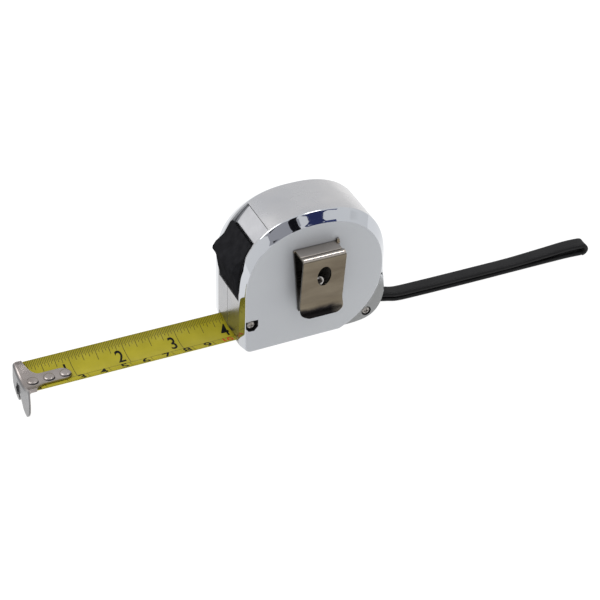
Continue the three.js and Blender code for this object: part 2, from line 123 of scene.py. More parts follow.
def chrome():
    """Plated case: mirror-like bevels, a polished haze on the strip round it, satin faces, and painted shade
    on the strip's front end, on the lower rear lug and in crevices.
    """
    g = Graph("chrome", (0.46, 0.475, 0.5), 0.1, 1.0)
    source = g.node("ShaderNodeTexCoord")
    place = source.outputs["Object"]
    at = g.node("ShaderNodeSeparateXYZ", {"Vector": place})
    sideways = g.node("ShaderNodeSeparateXYZ", {"Vector": source.outputs["Normal"]}).outputs["Y"]
    on_strip = g.spread(g.math("ABSOLUTE", at.outputs["Y"]), 1.0, 0.0, 0.0118, 0.0126)
    on_face = g.spread(g.math("ABSOLUTE", sideways), 0.0, 1.0, 0.86, 0.95)
    # Painted shade: the front end of the strip is mixed toward dark grey.
    front_shade = g.math("MULTIPLY", on_strip, g.spread(at.outputs["X"], 0.36, 0.0, -0.0362, -0.0335))
    haze = g.spread(g.noise(55.0, 4.0, place), 0.15, 0.27)
    face_haze = g.spread(g.noise(30.0, 2.0, place), 0.33, 0.4)
    rough = g.math("MULTIPLY_ADD", on_strip, haze, 0.04)
    g.set("Roughness", g.math("MULTIPLY_ADD", on_face, face_haze, rough))
    warm = g.mix(g.spread(g.noise(42.0, 2.0, place), 0.0, 1.0), (0.47, 0.475, 0.495), (0.58, 0.57, 0.57))
    plain = g.mix(g.spread(g.noise(25.0, 2.0, place), 0.0, 1.0), (0.52, 0.54, 0.575), (0.58, 0.595, 0.62))
    satin = g.mix(g.spread(g.noise(25.0, 2.0, place), 0.0, 1.0), (0.47, 0.485, 0.51), (0.505, 0.52, 0.54))
    color = g.mix(front_shade, g.mix(on_face, g.mix(on_strip, plain, warm), satin), (0.1, 0.1, 0.1))
    # Painted shade: the lug at the lower rear of each face is coloured darker.
    set_back = g.spread(g.math("ABSOLUTE", at.outputs["Y"]), 1.0, 0.0, 0.0162, 0.0168)
    low_rear = g.math("MULTIPLY", g.spread(at.outputs["Z"], 1.0, 0.0, 0.018, 0.024),
                      g.spread(at.outputs["X"], 0.0, 1.0, 0.010, 0.014))
    lug_shade = g.math("MULTIPLY", g.math("MULTIPLY", set_back, low_rear), on_face)
    color = g.mix(lug_shade, color, (0.28, 0.285, 0.285))
    g.set("Metallic", g.math("MULTIPLY_ADD", on_face, -0.85, 1.0))
    # Painted shade: where ambient occlusion finds a crevice, the colour goes nearly black.
    open_air = g.node("ShaderNodeAmbientOcclusion", {"Distance": 0.0012}, samples=8).outputs["AO"]
    g.set("Base Color", g.mix(g.spread(open_air, 0.0, 1.0, 0.3, 0.75), (0.07, 0.07, 0.075), color))
    g.bump(g.noise(140.0, 2.0, place), 0.05, 0.0002)
    return g.material


def nickel(name, dark, light, roughness):
    """Plated sheet metal with faint drawn lines and a little tarnish."""
    g = Graph(name, light, roughness, 1.0)
    place = g.place()
    lines = g.node("ShaderNodeMapping", {"Vector": place, "Scale": (0.08, 1.0, 1.0)}).outputs[0]
    drawn = g.noise(2600.0, 2.0, lines)
    g.set("Base Color", g.mix(g.spread(g.noise(160.0, 4.0, place), 0.0, 1.0), dark, light))
    g.set("Roughness", g.spread(drawn, roughness - 0.06, roughness + 0.1))
    g.bump(drawn, 0.06, 0.0001)
    return g.material


def clip_nickel():
    """Clip plating: painted light makes its upward faces bright and painted shade makes the leaf dark brown;
    its turned-out lip is painted nearly black as shade.
    """
    g = Graph("clip_nickel", (0.3, 0.27, 0.23), 0.16, 1.0)
    source = g.node("ShaderNodeTexCoord")
    place = source.outputs["Object"]
    at = g.node("ShaderNodeSeparateXYZ", {"Vector": place})
    upward = g.node("ShaderNodeSeparateXYZ", {"Vector": source.outputs["Normal"]}).outputs["Z"]
    stretched = g.node("ShaderNodeMapping", {"Vector": place, "Scale": (0.25, 1.0, 1.0)}).outputs[0]
    cloud = g.spread(g.noise(170.0, 4.0, stretched), 0.0, 1.0)
    # Painted light and shade: faces that look up get the bright colour, faces that look sideways and down
    # get the dark brown.
    leaf = g.mix(cloud, (0.13, 0.106, 0.076), (0.2, 0.17, 0.126))
    color = g.mix(g.spread(upward, 0.0, 1.0, 0.3, 0.8), leaf, (0.50, 0.46, 0.42))
    # Painted shade: the turned-out lip, low down and toward the left, is painted nearly black.
    wavy = g.math("MULTIPLY_ADD", g.noise(260.0, 2.0, place), 0.0022, at.outputs["Z"])
    low = g.spread(wavy, 1.0, 0.0, 0.0228, 0.0247)
    left = g.spread(at.outputs["X"], 1.0, 0.0, 0.003, 0.0085)
    lip = g.math("MULTIPLY", g.math("MULTIPLY", low, left), 0.94)
    g.set("Base Color", g.mix(lip, color, (0.012, 0.011, 0.014)))
    g.set("Roughness", g.spread(g.noise(2600.0, 2.0, stretched), 0.12, 0.24))
    return g.material


def hook_nickel():
    """Hook plating: lilac-grey on the plate and tongue, painted darker on the claw as shade."""
    g = Graph("hook_nickel", (0.34, 0.31, 0.3), 0.26, 1.0)
    place = g.place()
    at = g.node("ShaderNodeSeparateXYZ", {"Vector": place})
    cloud = g.spread(g.noise(160.0, 4.0, place), 0.0, 1.0)
    plate = g.mix(cloud, (0.28, 0.25, 0.235), (0.37, 0.335, 0.32))
    # Painted shade: the claw, which hangs down in front, is coloured darker than the plate.
    claw = g.mix(cloud, (0.14, 0.14, 0.145), (0.19, 0.19, 0.195))
    g.set("Base Color", g.mix(g.spread(at.outputs["X"], 1.0, 0.0, -0.1353, -0.1345), plate, claw))
    g.set("Roughness", g.spread(g.noise(2600.0, 2.0, place), 0.2, 0.34))
    g.bump(g.noise(400.0, 2.0, place), 0.03, 0.0001)
    return g.material


def plastic(name, color, roughness, grain, shine=0.5):
    """Moulded plastic or rubber: even colour, and a fine bumpy grain of the given scale."""
    g = Graph(name, color, roughness)
    g.set("Specular IOR Level", shine)
    place = g.place()
    cloud = g.spread(g.noise(300.0, 3.0, place), 0.0, 1.0)
    g.set("Base Color", g.mix(cloud, color, [c * 1.6 for c in color]))
    g.set("Roughness", g.spread(g.noise(700.0, 2.0, place), roughness - 0.06, roughness + 0.06))
    g.bump(g.noise(grain, 3.0, place), 0.12, 0.0001)
    return g.material


def vinyl():
    """Smooth black strap, with a slightly glossier skin and shallow creases across it."""
    g = Graph("strap_vinyl", (0.005, 0.005, 0.006), 0.5)
    g.set("Specular IOR Level", 0.22)
    place = g.place()
    long = g.node("ShaderNodeMapping", {"Vector": place, "Scale": (1.0, 0.25, 0.25)}).outputs[0]
    g.set("Roughness", g.spread(g.noise(120.0, 4.0, place), 0.42, 0.6))
    g.set("Base Color", g.mix(g.noise(90.0, 3.0, place), (0.003, 0.003, 0.0035), (0.008, 0.008, 0.009)))
    g.bump(g.noise(260.0, 3.0, long), 0.25, 0.0003)
    return g.material


def printed_paint():
    """Yellow blade paint with the inch marks on the far side and the centimetre marks on the near side."""
    g = Graph("blade_paint", (0.38, 0.33, 0.02), 0.36)
    g.set("Specular IOR Level", 0.15)
    place = g.place()
    axes = g.node("ShaderNodeSeparateXYZ", {"Vector": place})
    along = g.math("SUBTRACT", axes.outputs["X"], SCALE["zero"] * MM)
    across = axes.outputs["Y"]

    def ticks(spacing, width, low, high):
        """A row of marks, spacing apart, from low to high across the blade; all in millimetres."""
        place_in = g.math("PINGPONG", along, spacing * MM / 2)
        apart = g.math("LESS_THAN", place_in, width * MM / 2)
        above = g.math("GREATER_THAN", across, low * MM)
        below = g.math("LESS_THAN", across, high * MM)
        return g.math("MULTIPLY", apart, g.math("MULTIPLY", above, below))

    line = SCALE["line"]
    rows = [ticks(SCALE["inch"] / 2 ** power, 0.28 if power < 3 else 0.24, low, 10.9)
            for power, low in ((0, line), (1, 3.0), (2, 4.6), (3, 5.8), (4, 6.8), (5, 7.8))]
    rows += [ticks(10.0, 0.26, -10.5, line), ticks(1.0, 0.22, -10.5, -9.3), ticks(5.0, 0.24, -10.5, -8.6)]
    rows.append(g.math("COMPARE", across, line * MM, 0.13 * MM))
    ink = rows[0]
    for row in rows[1:]:
        ink = g.math("MAXIMUM", ink, row)
    paint = g.mix(g.spread(g.noise(90.0, 3.0, place), 0.0, 1.0), (0.335, 0.29, 0.014), (0.405, 0.35, 0.022))
    g.set("Base Color", g.mix(g.math("MULTIPLY", ink, 0.9), paint, (0.02, 0.018, 0.01)))
    g.set("Roughness", g.spread(g.noise(200.0, 2.0, place), 0.3, 0.42))
    g.bump(g.noise(500.0, 2.0, place), 0.05, 0.0001)
    return g.material


def ink(name, color):
    """Flat printing ink, a little uneven."""
    g = Graph(name, color, 0.6)
    g.set("Specular IOR Level", 0.1)
    g.set("Base Color", g.mix(g.noise(900.0, 2.0), color, [c * 1.5 + 0.002 for c in color]))
    return g.material


MATERIALS = {
    "chrome": chrome(),
    "track": nickel("track_plate", (0.60, 0.60, 0.62), (0.68, 0.68, 0.70), 0.16),
    "clip_nickel": clip_nickel(),
    "hook_nickel": hook_nickel(),
    # Painted shade: the clip's back plate is made nearly black.
    "painted_shade_steel": nickel("painted_shade_steel", (0.03, 0.028, 0.026), (0.05, 0.047, 0.043), 0.3),
    "steel": nickel("screw_steel", (0.25, 0.235, 0.22), (0.42, 0.40, 0.38), 0.3),
    # Painted light: a brighter copy of the screw steel, used for the belt clip's screw.
    "painted_light_steel": nickel("painted_light_steel", (0.50, 0.48, 0.46), (0.66, 0.64, 0.62), 0.3),
    "spring": nickel("spring_steel", (0.10, 0.12, 0.14), (0.18, 0.20, 0.22), 0.4),
    "button": plastic("button_plastic", (0.013, 0.013, 0.0145), 0.5, 1500.0, 0.0),
    "inner": plastic("inner_plastic", (0.04, 0.043, 0.05), 0.55, 900.0),
    # Painted shade: a black material for the linings of the screw recesses and the discs beside the rivets.
    "shade_black": plastic("shade_black_plastic", (0.004, 0.004, 0.005), 0.6, 900.0, 0.2),
    "pad": plastic("pad_rubber", (0.012, 0.012, 0.012), 0.8, 1800.0),
    "paint": printed_paint(),
    "ink": ink("black_ink", (0.004, 0.004, 0.004)),
    "red_ink": ink("red_ink", (0.42, 0.035, 0.02)),
    "vinyl": vinyl(),
}


# ---- mesh helpers ---------------------------------------------------------------------------------------
def piece(name, points, faces, material=None):
    """A mesh object from points in millimetres."""
    mesh = bpy.data.meshes.new(name)
    mesh.from_pydata([[c * MM for c in p] for p in points], [], faces)
    made = bpy.data.objects.new(name, mesh)
    bpy.context.scene.collection.objects.link(made)
    if material:
        mesh.materials.append(MATERIALS[material])
    return made


def loft(name, rings, material=None):
    """Closed rings of equal length joined one to the next, with flat ends."""
    count = len(rings[0])
    points = [p for ring in rings for p in ring]
    faces = [list(range(count))[::-1], [len(points) - count + i for i in range(count)]]
    for r in range(len(rings) - 1):
        for i in range(count):
            a = r * count + i
            b = r * count + (i + 1) % count
            faces.append([a, b, b + count, a + count])
    return outward(piece(name, points, faces, material))


def outward(made):
    """Turns every face to point out of a closed mesh."""
    work = bmesh.new()
    work.from_mesh(made.data)
    bmesh.ops.recalc_face_normals(work, faces=work.faces)
    work.to_mesh(made.data)
    work.free()
    return made


def slab_y(name, outline, y0, y1, material=None):
    return loft(name, [[(x, y, z) for x, z in outline] for y in (y0, y1)], material)


def slab_x(name, outline, x0, x1, material=None):
    return loft(name, [[(x, y, z) for y, z in outline] for x in (x0, x1)], material)


def slab_z(name, outline, z0, z1, material=None):
    return loft(name, [[(x, y, z) for x, y in outline] for z in (z0, z1)], material)


def box(name, low, high, material=None):
    corners = [(low[0], low[1]), (high[0], low[1]), (high[0], high[1]), (low[0], high[1])]
    return slab_z(name, corners, low[2], high[2], material)


def circle(centre, radius, sides=48):
    turn = [2 * math.pi * i / sides for i in range(sides)]
    return [(centre[0] + radius * math.cos(t), centre[1] + radius * math.sin(t)) for t in turn]


def rod_y(name, radius, centre, y0, y1, material=None, sides=48):
    return slab_y(name, circle(centre, radius, sides), y0, y1, material)


def apply_modifiers(made):
    evaluated = made.evaluated_get(bpy.context.evaluated_depsgraph_get())
    mesh = bpy.data.meshes.new_from_object(evaluated)
    made.modifiers.clear()
    made.data = mesh
    return made


def combine(made, operation, *tools):
    """Joins, cuts or intersects made with each tool in turn; the tools are used up."""
    for tool in tools:
        step = made.modifiers.new("combine", "BOOLEAN")
        step.operation = operation
        step.solver = "MANIFOLD"
        step.object = tool
    bpy.context.view_layer.update()
    apply_modifiers(made)
    for tool in tools:
        bpy.data.objects.remove(tool)
    return made


def cut(made, *tools):
    return combine(made, "DIFFERENCE", *tools)


def join(made, *tools):
    return combine(made, "UNION", *tools)


def copy_of(made, name):
    twin = made.copy()
    twin.data = made.data.copy()
    twin.name = name
    bpy.context.scene.collection.objects.link(twin)
    return twin


def soften(made, width, segments=2, angle=35):
    """Rounds the edges sharper than angle, by width in millimetres."""
    step = made.modifiers.new("soften", "BEVEL")
    step.width = width * MM
    step.segments = segments
    step.limit_method = "ANGLE"
    step.angle_limit = math.radians(angle)
    step.use_clamp_overlap = True
    return apply_modifiers(made)


def smooth(made, angle=30):
    for face in made.data.polygons:
        face.use_smooth = True
    made.data.set_sharp_from_angle(angle=math.radians(angle))
    return made


def finish_piece(made, body, slot, *nodes):
    """Puts a piece on its body, in place of the CAD nodes named; slot is not used."""
    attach(made, body)
    if nodes:
        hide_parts(*nodes)


def arc(centre, radius, start, end, steps):
    turn = [math.radians(start + (end - start) * i / steps) for i in range(steps + 1)]
    return [(centre[0] + radius * math.cos(t), centre[1] + radius * math.sin(t)) for t in turn]


def spline(points, steps):
    """A smooth line through the points, with steps pieces between each pair."""
    before = [2 * a - b for a, b in zip(points[0], points[1])]
    after = [2 * a - b for a, b in zip(points[-1], points[-2])]
    path = [before, *points, after]
    made = []
    for i in range(1, len(path) - 2):
        p0, p1, p2, p3 = (Vector(p) for p in path[i - 1:i + 3])
        for k in range(steps):
            t = k / steps
            made.append(0.5 * (2 * p1 + (p2 - p0) * t + (2 * p0 - 5 * p1 + 4 * p2 - p3) * t ** 2
                               + (3 * p1 - p0 - 3 * p2 + p3) * t ** 3))
    return [*made, Vector(points[-1])]


def sheet(name, rows, thickness, material, even=True):
    """An open grid of points made into sheet metal; the grid is its outer surface."""
    count = len(rows[0])
    faces = [[r * count + i, r * count + i + 1, (r + 1) * count + i + 1, (r + 1) * count + i]
             for r in range(len(rows) - 1) for i in range(count - 1)]
    made = piece(name, [p for row in rows for p in row], faces, material)
    step = made.modifiers.new("thickness", "SOLIDIFY")
    step.thickness = thickness * MM
    step.offset = -1
    step.use_even_offset = even
    return outward(apply_modifiers(made))


# ---- outlines -------------------------------------------------------------------------------------------
def oval(centre, a, b, power, start, end, steps):
    """Part of an oval with half sides a and b; a power above 2 squares it off."""
    points = []
    for i in range(steps + 1):
        t = start + (end - start) * i / steps
        c, s = math.cos(t), math.sin(t)
        points.append((centre[0] + a * math.copysign(abs(c) ** (2 / power), c),
                       centre[1] + b * math.copysign(abs(s) ** (2 / power), s)))
    return points


def d_outline(front, rear, top, power, foot, rear_quarter):
    """The case's D, from its front foot over the top and down the rear quarter."""
    mid = CASE["mid"]
    over = oval(((front + rear) / 2, mid), (rear - front) / 2, top - mid, power, math.pi, 0, 80)
    return [*arc((front + foot, foot), foot, 270, 180, 8), *over, *rear_quarter[1:]]


def strip_outline(inset=0.0):
    front, rear, top, mid = CASE["front"], CASE["rear"], CASE["top"], CASE["mid"]
    rear_quarter = oval((14, mid), rear - inset - 14, mid - inset, 4, 0, -math.pi / 2, 28)
    points = d_outline(front + inset, rear - inset, top - inset, 2.4, 1.6, rear_quarter)
    return [(x, max(z, inset)) for x, z in points]


def face_outline(inset=0.0):
    front, rear, top, mid = FACE["front"], FACE["rear"], FACE["top"], CASE["mid"]
    centre = ((front + rear) / 2, mid)
    end = -math.asin(mid / FACE["drop"])
    rear_quarter = oval(centre, rear - centre[0] - inset, FACE["drop"] - inset, 2, 0, end, 28)
    return d_outline(front + inset, rear - inset, top - inset, 2.25, 2.4, rear_quarter)


def ease(t):
    """0 to 1, starting and ending gently."""
    t = min(max(t, 0.0), 1.0)
    return t * t * (3 - 2 * t)


def blade_height(y):
    radius = (BLADE["half"] ** 2 + BLADE["sag"] ** 2) / (2 * BLADE["sag"])
    return BLADE["belly"] + radius - math.sqrt(radius ** 2 - y ** 2)


def blade_curve(offset, half, sag_scale=1.0, steps=32):
    """The blade's curved section moved up by offset and stretched to half."""
    points = []
    for i in range(steps + 1):
        y = -half + 2 * half * i / steps
        rise = blade_height(y / half * BLADE["half"]) - BLADE["belly"]
        points.append((y, BLADE["belly"] + rise * sag_scale + offset))
    return points


def lock_band(inner, outer, start, end, steps=40):
    """A band between two radii round the lock's centre."""
    centre = (LOCK["x"], LOCK["z"])
    return [*arc(centre, outer, start, end, steps), *arc(centre, inner, end, start, steps)]


# ---- case -----------------------------------------------------------------------------------------------
# Each step gives how far out from the middle a ring lies, how far it has gone from the strip's outline to
# the face's, and how far it is drawn in. BEVEL runs round the top and the front; LUG is at the lower rear.
BEVEL = [(12.0, 0, 0), (12.35, 0.008, 0), (12.65, 0.045, 0), (12.95, 0.1, 0), (13.6, 0.245, 0),
         (14.3, 0.4, 0), (15.0, 0.556, 0), (15.7, 0.711, 0), (16.4, 0.867, 0), (16.85, 0.958, 0),
         (17.15, 1, 0.06), (17.36, 1, 0.22), (17.47, 1, 0.48), (17.5, 1, 0.85), (17.5, 1, 2.4)]
LUG = [(12.0, 0, 0), (13.5, 0, 0), (14.9, 0, 0), (15.25, 0.012, 0), (15.48, 0.04, 0), (15.6, 0.1, 0),
       (15.6, 0.6, 0), (15.61, 0.77, 0), (15.8, 0.83, 0), (16.35, 0.9, 0), (17.0, 0.97, 0.02),
       (17.34, 1, 0.22), (17.46, 1, 0.48), (17.5, 1, 0.85), (17.5, 1, 2.4)]


def case_solid():
    """The whole case as one solid block, before it is hollowed and split."""
    strip = strip_outline()
    faces = {inset: face_outline(inset) for inset in {step[2] for step in BEVEL + LUG}}
    lug_share = [ease((25 - z) / 12) if x > 5 else 0.0 for x, z in strip]

    def ring(k, side):
        points = []
        for i, (x, z) in enumerate(strip):
            y, w = (a + (b - a) * lug_share[i] for a, b in zip(BEVEL[k][:2], LUG[k][:2]))
            fx, fz = faces[BEVEL[k][2]][i] if lug_share[i] < 0.5 else faces[LUG[k][2]][i]
            points.append((x + (fx - x) * w, side * y, z + (fz - z) * w))
        return points

    steps = range(len(BEVEL))
    return loft("case_body", [ring(k, -1) for k in reversed(steps)] + [ring(k, 1) for k in steps])


def mouth_tools():
    """What is cut away for the blade's way in: its curved slot and the open channel below it."""
    half = BLADE["half"] + 0.35
    back = BLADE["tip"] + HOOK["tongue"] + BLADE["travel"] + 1
    lower = blade_curve(-BLADE["thick"] - 0.35, half)
    upper = blade_curve(2.6, half, 0.75)[::-1]
    way = slab_x("way", lower + upper, CASE["front"] - 2, back)
    return [way, box("channel", (CASE["front"] - 2.1, -6, -1), (back + 0.1, 6, 2.0))]


def pocket_corners(inset=0.0):
    """The rounded triangle sunk into the near face round the front screw."""
    corners = [(-2.7, 2.6), (0, 2.9), (3.3, 2.7), (3.2, -0.9), (1.3, -3.0), (-1.3, -2.8), (-2.7, -1.0)]
    scale = 1 - inset / 2.9
    return [(x * scale + SCREW["front"][0], z * scale + SCREW["front"][1]) for x, z in corners]


def case_halves():
    """The near and far halves of the case, hollowed, bored for the screws and split at the parting line."""
    body = case_solid()
    front, rear = SCREW["front"], SCREW["rear"]
    slot = lock_band(30.9, 44, LOCK["start"], LOCK["end"])
    inner = [(x, z) for x, z in strip_outline(CASE["wall"]) if x < -6 and z >= CASE["wall"]]
    inner += [(-6, inner[-1][1]), (-6, CASE["wall"])]
    tools = [
        rod_y("drum", 29.7, (0, SPOOL_Z), -15.4, 15.4, sides=96),
        slab_y("front_hollow", inner, -11.9, 11.9),
        slab_y("corner", [(15, 1.8), (31, 1.8), (33.4, 5), (34, 12), (30, 12), (20, 6)], -11.5, 11.5),
        *mouth_tools(),
        slab_y("lock_slot", slot, -LOCK["slot_half"], LOCK["slot_half"]),
        box("strap_slot", (30, -9.2, 1.9), (40, -0.6, 7.9)),
    ]
    cut(body, *tools)
    join(body, rod_y("boss_front", 2.4, front, -12.6, 12.6), rod_y("boss_rear", 2.4, rear, -12.6, 12.6))
    bores = [
        slab_y("pocket", pocket_corners(), -18.5, -15.7),
        rod_y("counterbore", 2.4, rear, -18.5, -14.3),
        rod_y("bore_front", 1.55, front, -18.5, 14.5),
        rod_y("bore_rear", 1.55, rear, -18.5, 14.5),
        rod_y("bore_clip", 2.9, (0, SPOOL_Z), -18.5, -13),
    ]
    cut(body, *bores)
    seam = CASE["seam"]
    cut(body, box("front_seam", (-40, seam - 0.13, -1), (-33.4, seam + 0.13, 27)))
    far = copy_of(body, "case_shell_far")
    body.name = "case_shell_near"
    combine(body, "INTERSECT", box("near_side", (-60, -40, -5), (60, seam - 0.01, 90)))
    combine(far, "INTERSECT", box("far_side", (-60, seam + 0.01, -5), (60, 40, 90)))
    for shell, node in ((body, "case_near"), (far, "case_far")):
        shell.data.materials.clear()
        shell.data.materials.append(MATERIALS["chrome"])
        smooth(shell, 24)
        finish_piece(shell, "case", "chrome_case", node)


# ---- lock -----------------------------------------------------------------------------------------------
def lock():
    """The bright plate in the lock's recess, and the thumb button that slides over it."""
    track = slab_y("lock_track", lock_band(31.6, LOCK["floor"], LOCK["start"] + 0.6, LOCK["end"] - 0.6),
                   -LOCK["half"], LOCK["half"], "track")
    cut(track, slab_y("stem_way", lock_band(31, 34, 152, 189.5), -3.4, 3.4))
    finish_piece(smooth(track), "case", "chrome_case", "lock_track_plate")

    outer = [(-35.6, 25.9), (-36.7, 31), (-37.6, 37.4), (-38.5, 39.4), (-39.4, 41.0), (-39.2, 42.3),
             (-37.7, 44.6), (-35.6, 46.2), (-33.7, 47.8), (-31.9, 50.9), (-30.7, 53.1), (-29.9, 53.8),
             (-29.2, 53.5)]
    under = arc((LOCK["x"], LOCK["z"]), LOCK["floor"] + 0.35, 147.6, 193.2, 28)
    inner = [p for p in under if p[1] > 26.2]
    button = slab_y("lock_thumb", outer + inner, -LOCK["half"], LOCK["half"], "button")
    soften(button, 0.45, 3, 14)
    finish_piece(smooth(button, 40), "lock", "button_plastic", "lock_button")


# ---- blade ----------------------------------------------------------------------------------------------
def on_blade(u, v, lift=0.0):
    """The point on the blade's upper surface at u along it and v round its curve from the middle."""
    radius = (BLADE["half"] ** 2 + BLADE["sag"] ** 2) / (2 * BLADE["sag"])
    turn = v / radius
    reach = radius - lift
    return (u, reach * math.sin(turn), BLADE["belly"] + radius - reach * math.cos(turn))


def retracts(made):
    """Gives a piece its own copy of its mesh."""
    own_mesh(made)


def blade():
    section = blade_curve(-BLADE["thick"], BLADE["half"]) + blade_curve(0, BLADE["half"])[::-1]
    steps = 40
    length = BLADE["root"] - BLADE["tip"]
    rings = [[(BLADE["tip"] + length * i / steps, y, z) for y, z in section] for i in range(steps + 1)]
    strip = smooth(loft("tape_blade", rings, "paint"), 40)
    finish_piece(strip, "blade", "blade_paint", "blade")
    retracts(strip)


def numeral(text, u, v, height, thicken, narrow):
    """The outline of a number as flat triangles, laid on the blade with its middle at u, v."""
    curve = bpy.data.curves.new("numeral", "FONT")
    curve.body = text
    curve.size = 1.0
    curve.offset = thicken
    curve.align_x = "CENTER"
    letters = bpy.data.objects.new("numeral", curve)
    bpy.context.scene.collection.objects.link(letters)
    bpy.context.view_layer.update()
    flat = bpy.data.meshes.new_from_object(letters.evaluated_get(bpy.context.evaluated_depsgraph_get()))
    bpy.data.objects.remove(letters)
    work = bmesh.new()
    work.from_mesh(flat)
    for i in range(1, 14):
        shape = work.verts[:] + work.edges[:] + work.faces[:]
        bmesh.ops.bisect_plane(work, geom=shape, plane_co=(0, i * 0.05, 0), plane_no=(0, 1, 0))
    scale = height / 0.7
    for vert in work.verts:
        vert.co = Vector(on_blade(u + vert.co.x * scale * narrow, v + (vert.co.y - 0.35) * scale, 0.03)) * MM
    work.to_mesh(flat)
    work.free()
    return flat


def numbers():
    """The numbers on the blade: the inches, the centimetres but for the second, and the ten in red."""
    zero = SCALE["zero"]
    inch = [numeral(str(i), zero + SCALE["inch"] * i - 3.2, 1.4, 8.0, 0.012, 0.68) for i in range(1, 5)]
    metric = [numeral(str(i), zero + 10 * i - 3.0, -7.3, 5.8, 0.016, 0.9) for i in (1, 3, 4, 5, 6, 7, 8, 9)]
    ten = [numeral("10", zero + 100 - 3.6, -7.3, 4.8, 0.02, 0.8)]
    groups = [("blade_numbers", inch + metric, "ink"), ("blade_number_ten", ten, "red_ink")]
    for name, meshes, material in groups:
        work = bmesh.new()
        for mesh in meshes:
            work.from_mesh(mesh)
        mesh = bpy.data.meshes.new(name)
        work.to_mesh(mesh)
        work.free()
        mesh.materials.append(MATERIALS[material])
        made = bpy.data.objects.new(name, mesh)
        bpy.context.scene.collection.objects.link(made)
        finish_piece(made, "blade", "blade_paint")
        retracts(made)


# ---- hook -----------------------------------------------------------------------------------------------
# Each line down the claw: where it starts across the bend, and the y and z of the claw's lower edge there.
CLAW = [(-12.2, -12.2, -1.0), (-11.9, -12.0, -4.0), (-11.1, -11.2, -8.0), (-10.0, -10.0, -10.3),
        (-8.2, -8.2, -12.3), (-7.4, -7.4, -12.8), (-6.6, -6.6, -13.0), (-5.6, -5.6, -13.0),
        (-4.6, -4.6, -12.9), (-3.4, -3.4, -12.6), (-2.2, -2.2, -12.0), (-0.9, -0.9, -10.2),
        (0.3, 0.3, -8.6), (1.8, 1.8, -7.7),
        (3.2, 3.2, -6.9), (4.4, 4.7, -6.2), (4.5, 4.9, -7.0), (4.6, 3.3, -10.0), (4.7, 3.4, -11.3),
        (5.2, 4.9, -12.1), (6.4, 6.4, -11.9), (8.2, 8.6, -11.0), (9.6, 10.6, -9.6), (10.2, 11.7, -7.2),
        (10.6, 11.8, -3.5)]


def hook_top(y):
    return blade_height(min(abs(y), BLADE["half"])) + 0.2 + HOOK["sheet"]


def hook_rows():
    """Rows of the hook's outer surface from the tongue's round end, over the bend and down the claw."""
    near, far, tongue, middle = HOOK["near"], HOOK["far"], HOOK["tongue_half"], HOOK["tongue_y"]
    back = BLADE["tip"] - HOOK["sheet"]
    wide, neck = BLADE["tip"] + 3.2, BLADE["tip"] + 9
    centre = BLADE["tip"] + HOOK["tongue"] - tongue
    edges = [(centre + tongue * math.cos(t), middle - tongue * math.sin(t), middle + tongue * math.sin(t))
             for t in (math.radians(a) for a in (4, 15, 30, 45, 60, 75, 90))]
    edges += [(centre - (centre - neck) * i / 12, middle - tongue, middle + tongue) for i in range(1, 13)]
    for i in range(1, 13):
        t = 1 - i / 12
        x = (1 - t) ** 2 * wide + 2 * t * (1 - t) * (wide + 2.5) + t ** 2 * neck
        flare = (1 - t) ** 2
        low = (middle - tongue) * (1 - flare) + near * flare
        high = (middle + tongue) * (1 - flare) + far * flare
        edges.append((x, low, high))
    edges.append((wide - 1.2, near, far))

    rows = []
    for x, low, high in edges:
        ys = [low + (high - low) * (y - near) / (far - near) for y, _, _ in CLAW]
        rows.append([(x, y, hook_top(y)) for y in ys])
    bend = 1.7
    for degrees in range(0, 91, 15):
        t = math.radians(degrees)
        x = back + bend - bend * math.sin(t)
        rows.append([(x, y, hook_top(y) - bend + bend * math.cos(t)) for y, _, _ in CLAW])
    for i in range(1, 15):
        share = i / 14
        rows.append([(back, y + (y1 - y) * share, (hook_top(y) - bend) * (1 - share) + z1 * share)
                     for y, y1, z1 in CLAW])
    return rows


def hook():
    """The end hook with its slots, and the three rivets it slides on, each with a black disc beside it as
    painted shade.
    """
    made = sheet("end_hook", hook_rows(), HOOK["sheet"] - 0.1, "hook_nickel", even=False)
    places = [(BLADE["tip"] + 4.4 + 7.6 * i, HOOK["tongue_y"]) for i in range(3)]
    cut(made, *(slab_z("slot", [*arc((x + 0.8, y), 1.4, -90, 90, 16), *arc((x, y), 1.4, 90, 270, 16)], -2, 5)
                for x, y in places))
    soften(made, 0.12, 2, 50)
    finish_piece(smooth(made, 35), "hook", "nickel_sheet", "hook")
    profile = [(0.01, 0.92), (0.9, 0.9), (1.7, 0.8), (2.25, 0.6), (2.5, 0.35), (2.55, 0.1), (1.2, 0.1),
               (1.2, -1.3)]
    for i, (x, y) in enumerate(places):
        level = hook_top(y)
        rings = [[(px, py, level + h) for px, py in circle((x, y), r, 36)] for r, h in profile]
        rivet = loft(f"rivet_head_{i + 1}", rings, "hook_nickel")
        finish_piece(smooth(rivet, 50), "blade", "nickel_sheet", f"hook_rivet_{i + 1}")
        # Painted shade: a black disc beside each rivet head, a little toward the near side.
        rim = circle((x + 0.1, y - 0.9), 2.4, 36)
        rings = [[(px, py, hook_top(py) + h) for px, py in rim] for h in (-0.1, 0.06)]
        shade_disc = loft(f"rivet_shade_disc_{i + 1}", rings, "shade_black")
        finish_piece(shade_disc, "blade", "nickel_sheet")


# ---- belt clip ------------------------------------------------------------------------------------------
def clip_back():
    """The plate screwed to the case, which widens upward; it is coloured nearly black as painted shade."""
    middle, half, sheet_mm, head, face = (CLIP[key] for key in ("middle", "half", "sheet", "head", "face"))
    outline = [(middle - half + 2.2, CLIP["foot"]), (middle + half - 2.2, CLIP["foot"]),
               (middle + half + 0.7, head - sheet_mm - 0.1), (middle - half - 0.7, head - sheet_mm - 0.1)]
    back = slab_y("clip_back", outline, face - sheet_mm - 0.02, face, "painted_shade_steel")
    cut(back, rod_y("back_bore", 1.9, (0, SPOOL_Z), -22, -16))
    finish_piece(soften(back, 0.15), "case", "nickel_sheet", "clip_base")


